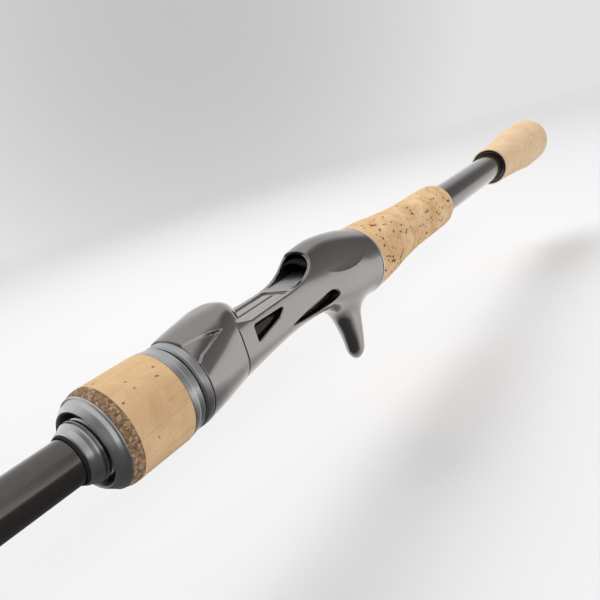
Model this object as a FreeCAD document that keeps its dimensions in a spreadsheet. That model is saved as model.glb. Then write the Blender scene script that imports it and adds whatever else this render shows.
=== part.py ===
"""Casting rod with a trigger reel seat, split cork grip and line guides.

Millimetres. Stations run along the rod from the butt end. The part's origin is the centre of the reel seat's
deck, +X points along the rod to the tip and +Z out of the deck, so every piece that is drawn around the rod's
axis is placed one deck height below the origin and one butt-to-deck length behind it.
"""

import FreeCAD, Part
import math
import os

import Sketcher

from FreeCAD import Placement, Rotation, Vector

SIZES = {
    # whole rod
    "rod_length": 1981.0,
    "butt_to_deck": 313.0,
    "deck_height": 7.3,
    "fit_gap": 0.05,
    # blank: outer radius at stations, and the tube's wall
    "blank_butt_station": 8.0,
    "blank_butt_radius": 7.6,
    "blank_split_station": 94.0,
    "blank_split_radius": 7.4,
    "blank_grip_station": 173.0,
    "blank_grip_radius": 7.3,
    "blank_seat_rear_station": 256.0,
    "blank_seat_rear_radius": 6.4,
    "blank_seat_front_station": 330.0,
    "blank_seat_front_radius": 6.0,
    "blank_front_station": 385.0,
    "blank_front_radius": 5.9,
    "blank_tip_station": 1979.0,
    "blank_tip_radius": 0.95,
    "blank_wall_butt": 1.2,
    "blank_wall_tip": 0.4,
    # butt grip
    "butt_dome_radius": 14.1,
    "butt_barrel_end": 36.0,
    "butt_grip_end": 91.5,
    "butt_grip_front_radius": 10.3,
    "butt_flank_arc": 800.0,
    "butt_mouth_radius": 9.6,
    "butt_mouth_depth": 3.2,
    "butt_check_length": 2.2,
    # rear grip
    "rear_grip_start": 173.0,
    "rear_grip_shoulder": 180.0,
    "rear_grip_thin_radius": 10.35,
    "rear_grip_waist_end": 203.0,
    "rear_grip_flare": 236.0,
    "rear_grip_flare_radius": 12.3,
    "rear_grip_end": 255.4,
    "rear_grip_end_radius": 13.3,
    "rear_trim_radius": 13.55,
    # reel seat
    "seat_rear": 256.25,
    "seat_rear_radius": 13.4,
    "seat_bore_radius": 6.5,
    "arbor_pocket_radius": 10.4,
    "arbor_pocket_depth": 15.0,
    "seat_shoulder": 332.2,
    "barrel_radius": 8.0,
    "barrel_front": 381.5,
    "thread_start": 357.0,
    "thread_pitch": 1.5,
    "thread_depth": 0.4,
    "trough_half_width": 5.3,
    "trough_depth": 0.5,
    "trough_rear": 303.0,
    "deck_half_width": 7.0,
    "rim_rise_start": 325.5,
    "rim_height": 9.2,
    "mouth_start": 309.0,
    "mouth_lip_arc": 32.0,
    "mouth_corner_station": 290.6,
    "mouth_corner_height": 12.6,
    "mouth_brow_arc": 6.0,
    "mouth_brow_station": 292.6,
    "mouth_brow_height": 18.5,
    "foot_half_width": 6.9,
    "foot_end": 279.5,
    "foot_roof": 12.7,
    "foot_shoulder": 9.4,
    "liner_wall": 0.7,
    "window_front": 325.7,
    "window_rear": 311.3,
    "window_reach": 3.0,
    "trigger_tip_depth": 33.5,
    # sliding hood
    "hood_rear": 332.5,
    "hood_nose": 324.7,
    "hood_front": 350.4,
    "hood_bore_radius": 8.3,
    "hood_slot_half_width": 6.4,
    "hood_slot_front": 349.3,
    "collar_front": 353.45,
    "collar_radius": 12.5,
    # locking nut of the fore grip
    "nut_rear": 353.75,
    "fore_cork_rear": 358.3,
    "fore_cork_front": 375.0,
    "fore_cork_radius": 13.0,
    "burl_front": 378.0,
    "burl_front_radius": 12.3,
    "flange_front": 381.05,
    "flange_mouth_radius": 9.8,
    "insert_bore_radius": 8.25,
    "insert_radius": 10.0,
    "retainer_inner_radius": 8.75,
    "retainer_outer_radius": 9.45,
    # front check and gasket
    "check_front": 384.8,
    "check_front_radius": 6.7,
    "gasket_length": 0.7,
    "gasket_radius": 6.4,
    # line guides
    "guide_first_gap": 80.0,
    "guide_gap_growth": 1.16,
    "wire_radius": 0.45,
    "holder_wall": 0.35,
    "holder_width": 1.0,
    "ring_width": 1.4,
    "foot_thickness": 0.5,
    "foot_width": 1.6,
    "wrap_thickness": 0.35,
    "tip_tube_length": 9.0,
    "tip_tube_wall": 0.45,
    "tip_ring_height": 3.4,
}

# number of each guide from the butt: radius of the hole, of the ring, and the ring's height over the blank
GUIDES = [
    (3.7, 4.7, 11.5),
    (2.9, 3.8, 9.0),
    (2.1, 2.9, 7.2),
    (1.9, 2.6, 6.4),
    (1.7, 2.4, 5.8),
    (1.7, 2.4, 5.4),
    (1.7, 2.4, 5.2),
    (1.7, 2.4, 5.0),
]
TIP_GUIDE = (1.7, 2.4)
DOUBLE_FOOT_GUIDES = 2

doc = FreeCAD.newDocument("casting_rod")
sheet = doc.addObject("Spreadsheet::Sheet", "Sheet")
pieces = []


def fill_sheet():
    """Put every driving size in a cell whose alias is its name."""
    rows = dict(SIZES)
    for number, (hole, ring, height) in enumerate(GUIDES, start=1):
        rows[f"guide_{number}_hole"] = hole
        rows[f"guide_{number}_ring"] = ring
        rows[f"guide_{number}_height"] = height
    rows["tip_guide_hole"], rows["tip_guide_ring"] = TIP_GUIDE
    for row, (alias, value) in enumerate(rows.items(), start=1):
        sheet.set(f"A{row}", alias)
        sheet.set(f"B{row}", str(value))
        sheet.setAlias(f"B{row}", alias)
    doc.recompute()


def value(expression):
    """The number that an expression over the sheet's aliases gives."""
    result = sheet.evalExpression(expression)
    return float(getattr(result, "Value", result))


def bound(expression):
    """The same expression as another object writes it."""
    for alias in sorted(ALIASES, key=len, reverse=True):
        expression = expression.replace(alias, f"<{ALIASES.index(alias)}>")
    for index, alias in enumerate(ALIASES):
        expression = expression.replace(f"<{index}>", f"Sheet.{alias}")
    return expression


def bind(thing, path, expression):
    thing.setExpression(path, bound(expression))


def place(thing, station="0", height="0"):
    """Put a piece drawn around the rod's axis at its station in the part's frame."""
    thing.Placement = Placement(
        Vector(value(f"{station} - butt_to_deck"), 0, value(f"{height} - deck_height")), Rotation()
    )
    bind(thing, "Placement.Base.x", f"{station} - butt_to_deck")
    bind(thing, "Placement.Base.z", f"{height} - deck_height")


def local(thing, x="0", z="0"):
    """Place a piece within a guide that is itself placed as a whole."""
    thing.Placement = Placement(Vector(value(x), 0, value(z)), Rotation())
    bind(thing, "Placement.Base.x", x)
    bind(thing, "Placement.Base.z", z)


def keep(thing, label):
    thing.Label = label
    pieces.append(thing)
    return thing


# ---------------------------------------------------------------- sketches and turned pieces


def arc_middle(start, end, radius):
    """Middle point of an arc from start to end: outward of the chord for a positive radius, inward if negative."""
    along = end.sub(start)
    half = along.Length / 2
    sag = abs(radius) - math.sqrt(radius * radius - half * half)
    outward = Vector(-along.y, along.x, 0).normalize()
    if outward.y < 0:
        outward = outward.negative()
    return start.add(end).multiply(0.5).add(outward.multiply(math.copysign(sag, radius)))


def outline_sketch(body, outline, plane="XZ_Plane"):
    """A closed sketch through (along, out) expressions. A third item is the arc radius to the next point."""
    sketch = body.newObject("Sketcher::SketchObject", "Outline")
    origin_plane = next(o for o in body.Origin.OriginFeatures if o.Role == plane)
    sketch.AttachmentSupport = [(origin_plane, "")]
    sketch.MapMode = "FlatFace"
    points = [Vector(value(item[0]), value(item[1]), 0) for item in outline]
    count = len(points)
    for index, item in enumerate(outline):
        start, end = points[index], points[(index + 1) % count]
        if len(item) == 3:
            middle = arc_middle(start, end, value(item[2]))
            sketch.addGeometry(Part.Arc(start, middle, end), False)
        else:
            sketch.addGeometry(Part.LineSegment(start, end), False)

    def side(geometry, point):
        near = [(sketch.getPoint(geometry, pos) - point).Length for pos in (1, 2)]
        return 1 + near.index(min(near))

    for index, item in enumerate(outline):
        before = (index - 1) % count
        here = side(index, points[index])
        sketch.addConstraint(
            Sketcher.Constraint("Coincident", before, side(before, points[index]), index, here)
        )
        for kind, expression, size in (
            ("DistanceX", item[0], points[index].x),
            ("DistanceY", item[1], points[index].y),
        ):
            number = sketch.addConstraint(Sketcher.Constraint(kind, -1, 1, index, here, size))
            bind(sketch, f"Constraints[{number}]", expression)
        if len(item) == 3:
            number = sketch.addConstraint(Sketcher.Constraint("Radius", index, abs(value(item[2]))))
            bind(sketch, f"Constraints[{number}]", item[2].lstrip("-"))
    return sketch


def turned(name, outline):
    """A body turned about its X axis."""
    body = doc.addObject("PartDesign::Body", name)
    sketch = outline_sketch(body, outline)
    doc.recompute()
    turn = body.newObject("PartDesign::Revolution", "Turn")
    turn.Profile = sketch
    turn.ReferenceAxis = (sketch, ["H_Axis"])
    turn.Angle = 360
    body.Tip = turn
    doc.recompute()
    return body


def turned_piece(label, outline):
    body = turned(label, outline)
    place(body)
    return keep(body, label)


def tube(label, start, end, inner, outer):
    """A plain turned tube between two stations."""
    return turned_piece(label, [(start, inner), (start, outer), (end, outer), (end, inner)])


def side_prism(name, outline, half_width):
    """A body drawn in side view and padded to both sides of the rod's middle plane."""
    body = doc.addObject("PartDesign::Body", name)
    sketch = outline_sketch(body, outline)
    doc.recompute()
    pad = body.newObject("PartDesign::Pad", "Pad")
    pad.Profile = sketch
    pad.Midplane = True
    pad.Length = 2 * value(half_width)
    bind(pad, "Length", f"2 * ({half_width})")
    body.Tip = pad
    doc.recompute()
    return body


def box(name, start, end, half_width, low, high):
    """A box between two stations, centred on the middle plane, between two heights over the rod's axis."""
    block = doc.addObject("Part::Box", name)
    bind(block, "Length", f"({end}) - ({start})")
    bind(block, "Width", f"2 * ({half_width})")
    bind(block, "Height", f"({high}) - ({low})")
    bind(block, "Placement.Base.x", start)
    bind(block, "Placement.Base.y", f"0 - ({half_width})")
    bind(block, "Placement.Base.z", low)
    return block


def post(name, centre, radius, low, high):
    """An upright cylinder on the middle plane."""
    cylinder = doc.addObject("Part::Cylinder", name)
    bind(cylinder, "Radius", radius)
    bind(cylinder, "Height", f"({high}) - ({low})")
    bind(cylinder, "Placement.Base.x", centre)
    bind(cylinder, "Placement.Base.z", low)
    return cylinder


def rod_cylinder(name, start, end, radius):
    """A cylinder around the rod's axis."""
    cylinder = doc.addObject("Part::Cylinder", name)
    cylinder.Placement = Placement(Vector(0, 0, 0), Rotation(Vector(0, 1, 0), 90))
    bind(cylinder, "Radius", radius)
    bind(cylinder, "Height", f"({end}) - ({start})")
    bind(cylinder, "Placement.Base.x", start)
    return cylinder


def fuse(name, shapes):
    joined = doc.addObject("Part::MultiFuse", name)
    joined.Shapes = shapes
    return joined


def cut(name, base, tool):
    rest = doc.addObject("Part::Cut", name)
    rest.Base = base
    rest.Tool = tool
    return rest


def common(name, shapes):
    shared = doc.addObject("Part::MultiCommon", name)
    shared.Shapes = shapes
    return shared


# ---------------------------------------------------------------- sculpted forms


def oval(centre, right, up, half_width, top, bottom, top_power, bottom_power, points=28):
    """A closed spline with flat-sided halves: |y/w|^n + |z/h|^n = 1 above and below its widest line."""
    corners = []
    for index in range(points):
        angle = 2 * math.pi * index / points
        cosine, sine = math.cos(angle), math.sin(angle)
        power, reach = (top_power, top) if sine >= 0 else (bottom_power, bottom)
        across = half_width * math.copysign(abs(cosine) ** (2 / power), cosine)
        height = reach * abs(sine) ** (2 / power) * (1 if sine >= 0 else -1)
        corners.append(centre + right * across + up * height)
    curve = Part.BSplineCurve()
    curve.interpolate(Points=corners, PeriodicFlag=True)
    return Part.Wire(curve.toShape())


def sculpted(name, sections):
    """A smooth solid through cross-sections: station, half width, top, bottom and the two halves' powers."""
    wires = [
        oval(Vector(station, 0, 0), Vector(0, 1, 0), Vector(0, 0, 1), half, top, bottom, above, below)
        for station, half, top, bottom, above, below in sections
    ]
    form = doc.addObject("Part::Feature", name)
    form.Shape = Part.makeLoft(wires, True, False)
    return form


def seat_form():
    """Body of the seat with its fixed hood, before the deck, mouth, bore and windows are cut."""
    rear = value("seat_rear")
    rear_radius = value("seat_rear_radius")
    return sculpted(
        "SeatForm",
        [
            (rear, rear_radius, rear_radius, rear_radius, 2.0, 2.0),
            (262.0, 12.3, 14.9, 12.2, 2.0, 2.0),
            (270.0, 11.0, 16.3, 10.6, 2.1, 2.0),
            (280.0, 9.6, 17.1, 8.8, 2.2, 2.1),
            (290.0, 8.5, 16.0, 7.6, 2.5, 2.2),
            (300.0, 8.0, 14.0, 7.1, 3.2, 2.2),
            (312.0, 8.1, 12.5, 7.6, 3.8, 2.2),
            (323.0, 8.6, 12.5, 8.9, 3.8, 2.1),
            (value("seat_shoulder"), 9.4, 12.5, 9.9, 3.8, 2.0),
        ],
    )


def trigger_form():
    """The trigger: upright ovals from inside the body down to a rounded tip, leaning back to the butt."""
    tip = value("trigger_tip_depth")
    levels = [
        (2.0, 270.2, 12.6, 7.2),
        (7.2, 269.4, 10.9, 6.2),
        (11.5, 268.9, 8.5, 5.2),
        (17.0, 268.7, 6.8, 4.6),
        (23.0, 268.5, 5.3, 4.0),
        (28.0, 268.8, 3.9, 3.3),
        (tip - 2.2, 269.2, 2.9, 2.5),
        (tip - 0.5, 269.5, 1.6, 1.4),
        (tip, 269.6, 0.5, 0.4),
    ]
    wires = [
        oval(Vector(station, 0, -depth), Vector(1, 0, 0), Vector(0, 1, 0), reach, half, half, 2.2, 2.2)
        for depth, station, reach, half in levels
    ]
    form = doc.addObject("Part::Feature", "TriggerForm")
    form.Shape = Part.makeLoft(wires, True, False)
    return form


def hood_form():
    """Outside of the sliding hood: round at the collar, rising to a blunt nose over the deck."""
    front = value("hood_front")
    radius = value("collar_radius")
    return sculpted(
        "HoodForm",
        [
            (value("hood_nose"), 2.2, 9.8, 9.0, 2.0, 2.0),
            (325.3, 4.3, 11.7, 9.1, 2.0, 2.0),
            (326.8, 6.4, 13.5, 9.3, 2.3, 2.0),
            (329.5, 8.5, 14.8, 9.7, 2.8, 2.0),
            (333.0, 9.7, 15.1, 10.1, 3.2, 2.0),
            (339.0, 10.6, 14.8, 11.2, 2.5, 2.0),
            (345.0, 11.7, 14.1, 12.1, 2.2, 2.0),
            (front, radius, radius + 0.7, radius, 2.0, 2.0),
        ],
    )


# ---------------------------------------------------------------- rod: blank, grips and checks


def blank_radius(station):
    """Radius of the blank ahead of the grip, as an expression of the station."""
    slope = "(blank_front_radius - blank_tip_radius) / (blank_tip_station - blank_front_station)"
    return f"(blank_front_radius - (({station}) - blank_front_station) * {slope})"


def blank():
    """The hollow tapered tube that everything else is built on."""
    names = ["butt", "split", "grip", "seat_rear", "seat_front", "front", "tip"]
    outer = [(f"blank_{name}_station", f"blank_{name}_radius") for name in names]
    inner = [
        ("blank_tip_station", "blank_tip_radius - blank_wall_tip"),
        ("blank_front_station", "blank_front_radius - blank_wall_butt"),
        ("blank_seat_rear_station", "blank_seat_rear_radius - blank_wall_butt"),
        ("blank_butt_station", "blank_butt_radius - blank_wall_butt"),
    ]
    turned_piece("blank", outer + inner)


def butt_grip():
    """Cork butt: hemispherical end, a straight stretch, a long taper and a hollow mouth for its check."""
    dome = "butt_dome_radius"
    turned_piece(
        "butt_grip",
        [
            ("0", "0", "butt_dome_radius"),
            (dome, dome),
            ("butt_barrel_end", dome, "-butt_flank_arc"),
            ("butt_grip_end", "butt_grip_front_radius"),
            ("butt_grip_end", "butt_mouth_radius"),
            ("butt_grip_end - butt_mouth_depth", "butt_mouth_radius"),
            ("butt_grip_end - butt_mouth_depth", "blank_butt_radius + fit_gap"),
            ("blank_butt_station", "blank_butt_radius + fit_gap"),
            ("blank_butt_station", "0"),
        ],
    )


def butt_check():
    """Metal ring in the butt grip's mouth, with a bevelled outer lip."""
    start = "(butt_grip_end - butt_mouth_depth)"
    end = f"({start} + butt_check_length)"
    turned_piece(
        "butt_check",
        [
            (start, "blank_butt_radius + fit_gap"),
            (start, "butt_mouth_radius"),
            (f"{end} - 0.8", "butt_mouth_radius"),
            (end, "butt_mouth_radius - 0.8"),
            (end, "blank_butt_radius + fit_gap"),
        ],
    )


def rear_grip():
    """Cork grip behind the seat: rounded rear end, thin waist and a flare up to the seat."""
    bore = "blank_grip_radius + fit_gap"
    turned_piece(
        "rear_grip",
        [
            ("rear_grip_start", bore),
            ("rear_grip_start", "blank_grip_radius + 0.7", "7.0"),
            ("rear_grip_shoulder", "rear_grip_thin_radius"),
            ("rear_grip_waist_end", "rear_grip_thin_radius", "-300.0"),
            ("rear_grip_flare", "rear_grip_flare_radius", "200.0"),
            ("rear_grip_end", "rear_grip_end_radius"),
            ("rear_grip_end", bore),
        ],
    )
    tube("rear_trim_ring", "rear_grip_end", "seat_rear", bore, "rear_trim_radius")


# ---------------------------------------------------------------- reel seat


def arch(name, start, end, half_width, shoulder, roof):
    """A cylinder along the rod whose top is the arched roof of a foot slot: it passes the shoulders and the roof."""
    rise = f"(({roof}) - ({shoulder}))"
    radius = f"((({half_width}) ^ 2 + {rise} ^ 2) / (2 * {rise}))"
    cylinder = rod_cylinder(name, start, end, radius)
    bind(cylinder, "Placement.Base.z", f"({roof}) - {radius}")
    return cylinder


def foot_slot(name, end, mouth, half_width, low, roof):
    """Space for one end of a reel's foot: straight sides, a round end and an arched roof."""
    centre = f"({end}) + ({half_width})"
    straight = box(f"{name}Straight", centre, mouth, half_width, low, roof)
    round_end = post(f"{name}Round", centre, half_width, low, roof)
    plan = fuse(f"{name}Plan", [straight, round_end])
    roofing = arch(f"{name}Arch", f"({end}) - 1", f"({mouth}) + 1", half_width, "foot_shoulder", roof)
    return common(name, [plan, roofing])


def deck_clearing(name):
    """Everything above the deck, back to the fixed hood's mouth: a long rising lip and an overhanging brow.

    The deck is level over its middle, and its two rims rise to the shoulder that meets the sliding hood.
    """
    rims = side_prism(
        f"{name}Rims",
        [
            ("mouth_start", "deck_height"),
            ("rim_rise_start", "deck_height"),
            ("seat_shoulder", "rim_height"),
            ("seat_shoulder + 60", "rim_height"),
            ("seat_shoulder + 60", "mouth_brow_height"),
            ("mouth_brow_station", "mouth_brow_height", "-mouth_brow_arc"),
            ("mouth_corner_station", "mouth_corner_height", "-mouth_lip_arc"),
        ],
        "20",
    )
    middle = box(f"{name}Middle", "mouth_start", "seat_shoulder + 60", "deck_half_width", "deck_height",
                 "rim_height + 1")
    return fuse(name, [rims, middle])


def threaded_barrel():
    """Front barrel of the seat: plain under the hood, ridged where the nut runs."""
    ridges = int(round((value("barrel_front") - value("thread_start")) / value("thread_pitch")))
    core = "barrel_radius - thread_depth"
    outline = [("seat_shoulder - 6", "0"), ("seat_shoulder - 6", "barrel_radius")]
    for ridge in range(ridges):
        start = f"thread_start + {ridge} * thread_pitch"
        outline += [
            (start, "barrel_radius"),
            (f"{start} + 0.3 * thread_pitch", core),
            (f"{start} + 0.6 * thread_pitch", core),
            (f"{start} + 0.9 * thread_pitch", "barrel_radius"),
        ]
    outline += [("barrel_front", "barrel_radius"), ("barrel_front", "0")]
    return turned("ThreadedBarrel", outline)


def side_openings():
    """The tapered windows in the seat's sides and the long slots low ahead of the trigger, both on both sides."""
    window = side_prism(
        "Window",
        [
            ("window_front", "0.4"),
            ("window_front", "4.6"),
            ("window_front - 0.8", "5.4"),
            ("window_rear", "5.0"),
            ("window_rear", "3.8", "-40.0"),
        ],
        "20",
    )
    slot = side_prism(
        "Slot",
        [
            ("307.8", "-2.5"),
            ("297.8", "-1.1"),
            ("285.2", "0.1"),
            ("282.9", "-1.1"),
            ("281.8", "-2.8"),
            ("283.6", "-3.9"),
            ("292.7", "-4.4"),
            ("301.5", "-3.7"),
        ],
        "20",
    )
    core = box("WindowCore", "270", "340", "window_reach", "-20", "20")
    return cut("SideOpenings", fuse("WindowsAndSlots", [window, slot]), core)


def seat_body():
    """Moulded reel seat: deck, fixed hood, trigger and threaded barrel in one piece."""
    solid = fuse("SeatSolid", [seat_form(), trigger_form(), threaded_barrel()])
    bore = rod_cylinder("SeatBore", "seat_rear - 1", "barrel_front + 1", "seat_bore_radius")
    pocket = rod_cylinder(
        "ArborPocket", "seat_rear - 1", "seat_rear + arbor_pocket_depth", "arbor_pocket_radius"
    )
    trough = box(
        "Trough", "trough_rear", "seat_shoulder + 20", "trough_half_width",
        "deck_height - trough_depth", "deck_height + 1",
    )
    foot = foot_slot(
        "RearFootSpace", "foot_end", "mouth_start + 20", "foot_half_width",
        "deck_height", "foot_roof + liner_wall",
    )
    tools = fuse("SeatTools", [bore, pocket, trough, foot, deck_clearing("DeckClearing"), side_openings()])
    seat = cut("seat_body", solid, tools)
    place(seat)
    keep(seat, "seat_body")


def seat_liners():
    """Dark liners that cushion the reel foot in both hoods."""
    outer = foot_slot(
        "LinerOuter", "foot_end", "mouth_corner_station", "foot_half_width", "deck_height",
        "foot_roof + liner_wall",
    )
    inner = foot_slot(
        "LinerInner", "foot_end + liner_wall", "mouth_corner_station + 1", "foot_half_width - liner_wall",
        "deck_height - 1", "foot_roof",
    )
    rear = cut("rear_hood_liner", outer, inner)
    place(rear)
    keep(rear, "rear_hood_liner")
    lining = common(
        "FrontLining",
        [
            box("FrontLiningBlock", "hood_nose + 5", "hood_slot_front", "hood_slot_half_width",
                "deck_height + 0.4", "foot_roof"),
            arch("FrontLiningArch", "hood_nose", "hood_front", "hood_slot_half_width", "foot_shoulder",
                 "foot_roof"),
        ],
    )
    space = common(
        "FrontLiningSpace",
        [
            box("FrontSpaceBlock", "hood_nose", "hood_front", "hood_slot_half_width - liner_wall",
                "deck_height - 1", "foot_roof"),
            arch("FrontSpaceArch", "hood_nose", "hood_front", "hood_slot_half_width - liner_wall",
                 "foot_shoulder", "foot_roof - liner_wall"),
        ],
    )
    front = cut("front_hood_liner", lining, space)
    place(front)
    keep(front, "front_hood_liner")


def arbors():
    """Sleeves that centre the blank in the seat's bore."""
    pocket_end = "(seat_rear + arbor_pocket_depth)"
    tube("rear_arbor", "seat_rear", pocket_end, "blank_grip_radius - 0.4", "arbor_pocket_radius")
    tube("front_arbor", "seat_shoulder", "barrel_front", "blank_seat_front_radius + fit_gap", "seat_bore_radius")


def sliding_hood():
    """Hood that slides on the barrel: a sleeve with a slot for the foot, and a nose that overhangs the deck."""
    bore = rod_cylinder("HoodBore", "hood_nose - 5", "hood_front + 1", "hood_bore_radius")
    slot = common(
        "HoodSlot",
        [
            box("HoodSlotBlock", "hood_nose - 5", "hood_slot_front", "hood_slot_half_width", "0", "foot_roof"),
            arch("HoodSlotArch", "hood_nose - 5", "hood_front", "hood_slot_half_width", "foot_shoulder",
                 "foot_roof"),
        ],
    )
    below = side_prism(
        "BelowNose",
        [
            ("hood_nose - 5", "-20"),
            ("hood_nose - 5", "rim_height + 0.3"),
            ("hood_rear", "rim_height + 0.3"),
            ("hood_rear", "-20"),
        ],
        "20",
    )
    hood = cut("front_hood", hood_form(), fuse("HoodTools", [bore, slot, below]))
    place(hood)
    keep(hood, "front_hood")
    turned_piece(
        "hood_collar",
        [
            ("hood_front", "hood_bore_radius"),
            ("hood_front", "collar_radius"),
            ("collar_front - 0.4", "collar_radius - 0.1"),
            ("collar_front", "collar_radius - 0.5"),
            ("collar_front", "retainer_outer_radius"),
            ("collar_front - 1.0", "retainer_outer_radius"),
            ("collar_front - 1.0", "hood_bore_radius"),
        ],
    )
    tube(
        "retaining_ring", "collar_front - 1.0", "nut_rear + 0.8", "retainer_inner_radius",
        "retainer_outer_radius",
    )


def locking_nut():
    """Fore grip that turns as a nut: threaded insert, rear ring, cork, burl ring and metal flange."""
    counterbore = "(retainer_outer_radius + 0.25)"
    turned_piece(
        "nut_insert",
        [
            ("nut_rear", counterbore),
            ("nut_rear", "insert_radius"),
            ("fore_cork_front", "insert_radius"),
            ("fore_cork_front", "insert_bore_radius"),
            ("nut_rear + 1.1", "insert_bore_radius"),
            ("nut_rear + 1.1", counterbore),
        ],
    )
    turned_piece(
        "nut_rear_ring",
        [
            ("nut_rear", "insert_radius"),
            ("nut_rear", "collar_radius - 0.7"),
            ("nut_rear + 0.5", "collar_radius - 0.4"),
            ("fore_cork_rear", "fore_cork_radius - 0.05"),
            ("fore_cork_rear", "insert_radius"),
        ],
    )
    turned_piece(
        "fore_cork",
        [
            ("fore_cork_rear", "insert_radius"),
            ("fore_cork_rear", "fore_cork_radius - 0.1"),
            ("fore_cork_rear + 0.4", "fore_cork_radius"),
            ("fore_cork_front", "fore_cork_radius"),
            ("fore_cork_front", "insert_radius"),
        ],
    )
    turned_piece(
        "burl_ring",
        [
            ("fore_cork_front", "flange_mouth_radius + 1.1"),
            ("fore_cork_front", "fore_cork_radius", "9.0"),
            ("burl_front", "burl_front_radius"),
            ("burl_front", "flange_mouth_radius + 1.1"),
        ],
    )
    turned_piece(
        "nut_flange",
        [
            ("fore_cork_front", "flange_mouth_radius - 0.2"),
            ("fore_cork_front", "flange_mouth_radius + 1.1"),
            ("burl_front", "flange_mouth_radius + 1.1"),
            ("burl_front", "burl_front_radius"),
            ("burl_front + 0.4", "burl_front_radius"),
            ("burl_front + 0.5", "burl_front_radius - 0.35", "9.0"),
            ("flange_front", "flange_mouth_radius + 0.4"),
            ("flange_front", "flange_mouth_radius"),
        ],
    )


def front_trim():
    """Bevelled check in front of the barrel and the black gasket where the blank enters it."""
    bore = "blank_front_radius + fit_gap"
    turned_piece(
        "front_check",
        [
            ("barrel_front", bore),
            ("barrel_front", "barrel_radius"),
            ("barrel_front + 0.9", "barrel_radius - 0.1"),
            ("check_front - 0.3", "check_front_radius"),
            ("check_front", "check_front_radius - 0.2"),
            ("check_front", bore),
        ],
    )
    tube("front_gasket", "check_front", "check_front + gasket_length", bore, "gasket_radius")


# ---------------------------------------------------------------- line guides


def wire(name, start, end):
    """A round wire between two points given as numbers."""
    along = end.sub(start)
    rod = doc.addObject("Part::Cylinder", name)
    bind(rod, "Radius", "wire_radius")
    rod.Height = along.Length
    rod.Placement = Placement(start, Rotation(Vector(0, 0, 1), along))
    return rod


def ring_outline(inner, outer, width):
    """A ring around the X axis with bevelled edges, starting at X = 0."""
    bevel = 0.3
    return [
        ("0", f"{inner} + {bevel}"),
        ("0", f"{outer} - {bevel / 2}"),
        (f"{bevel / 2}", outer),
        (f"{width} - {bevel / 2}", outer),
        (width, f"{outer} - {bevel / 2}"),
        (width, f"{inner} + {bevel}"),
        (f"{width} - {bevel}", inner),
        (f"{bevel}", inner),
    ]


def holder(name, ring, height, x="0"):
    """The round holder that the ceramic ring is pressed into."""
    inset = "(ring_width - holder_width) / 2"
    sleeve = turned(
        name,
        [("0", ring), ("0", f"{ring} + holder_wall"), ("holder_width", f"{ring} + holder_wall"), ("holder_width", ring)],
    )
    local(sleeve, f"{x} + {inset}", height)
    return sleeve


def ring_space(name, ring, height, x="0"):
    """Room for the ceramic ring in its frame."""
    space = rod_cylinder(name, f"{x} - 1", f"{x} + ring_width + 1", ring)
    bind(space, "Placement.Base.z", height)
    return space


def wrap(name, start, end, radius):
    """Thread wrap and its varnish over a foot: a sleeve on the blank with sloping ends."""
    crown = f"{radius} + foot_thickness + wrap_thickness"
    sleeve = turned(
        name,
        [
            ("0", radius),
            ("0", f"{radius} + wrap_thickness"),
            ("1.6", crown),
            (f"({end}) - ({start}) - 1.6", crown),
            (f"({end}) - ({start})", f"{radius} + wrap_thickness"),
            (f"({end}) - ({start})", radius),
        ],
    )
    local(sleeve, start)
    return sleeve


def guide(number):
    """One line guide: a wire frame on one or two feet, its ring, and the wraps that bind the feet."""
    name = f"guide_{number}"
    gaps = len(GUIDES) + 1 - number
    reach = f"guide_first_gap * (guide_gap_growth ^ {gaps} - 1) / (guide_gap_growth - 1)"
    station = f"rod_length - {reach}"
    surface = blank_radius(f"{station} - 16")
    ring, hole = f"{name}_ring", f"{name}_hole"
    height = f"({surface} + {name}_height)"
    double = number <= DOUBLE_FOOT_GUIDES
    feet = [(-14.0, -4.0), (6.0, 15.0)] if double else [(-11.0, -3.0)]
    parts = [holder(f"{name}Holder", ring, height)]
    wraps = []
    surface_value, height_value = value(surface), value(height)
    side = value(f"{ring} + holder_wall / 2")
    middle = value("ring_width / 2")
    for index, (start, end) in enumerate(feet):
        low = f"{surface} + 0.05"
        foot = box(f"{name}Foot{index}", str(start), str(end), "foot_width / 2", low, f"{low} + foot_thickness")
        parts.append(foot)
        inner_end = end if start < 0 else start
        base = Vector(inner_end - math.copysign(0.4, end + start), 0, surface_value + 0.3)
        base.x = inner_end - 0.4 if start < 0 else inner_end + 0.4
        if start < 0:
            for hand in (-1, 1):
                leg_end = Vector(middle, hand * side, height_value)
                parts.append(wire(f"{name}Leg{hand}", base + Vector(0, hand * 0.3, 0), leg_end))
        else:
            parts.append(wire(f"{name}Brace", base, Vector(middle, 0, height_value - side)))
        wrap_start = str(start - 2.0) if start < 0 else str(start + 1.0)
        wrap_end = str(end - 1.0) if start < 0 else str(end + 2.0)
        sleeve = wrap(f"{name}Wrap{index}", wrap_start, wrap_end, f"{surface} + 0.03")
        wraps.append(cut(f"{name}Bound{index}", sleeve, foot))
    frame = cut(f"{name}_frame", fuse(f"{name}Wires", parts), ring_space(f"{name}Space", ring, height))
    place(frame, station)
    keep(frame, f"{name}_frame")
    bound_feet = fuse(f"{name}_wraps", wraps) if double else wraps[0]
    place(bound_feet, station)
    keep(bound_feet, f"{name}_wraps")
    ring_body = turned(f"{name}_ring", ring_outline(hole, ring, "ring_width"))
    place(ring_body, station, height)
    keep(ring_body, f"{name}_ring")


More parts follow.
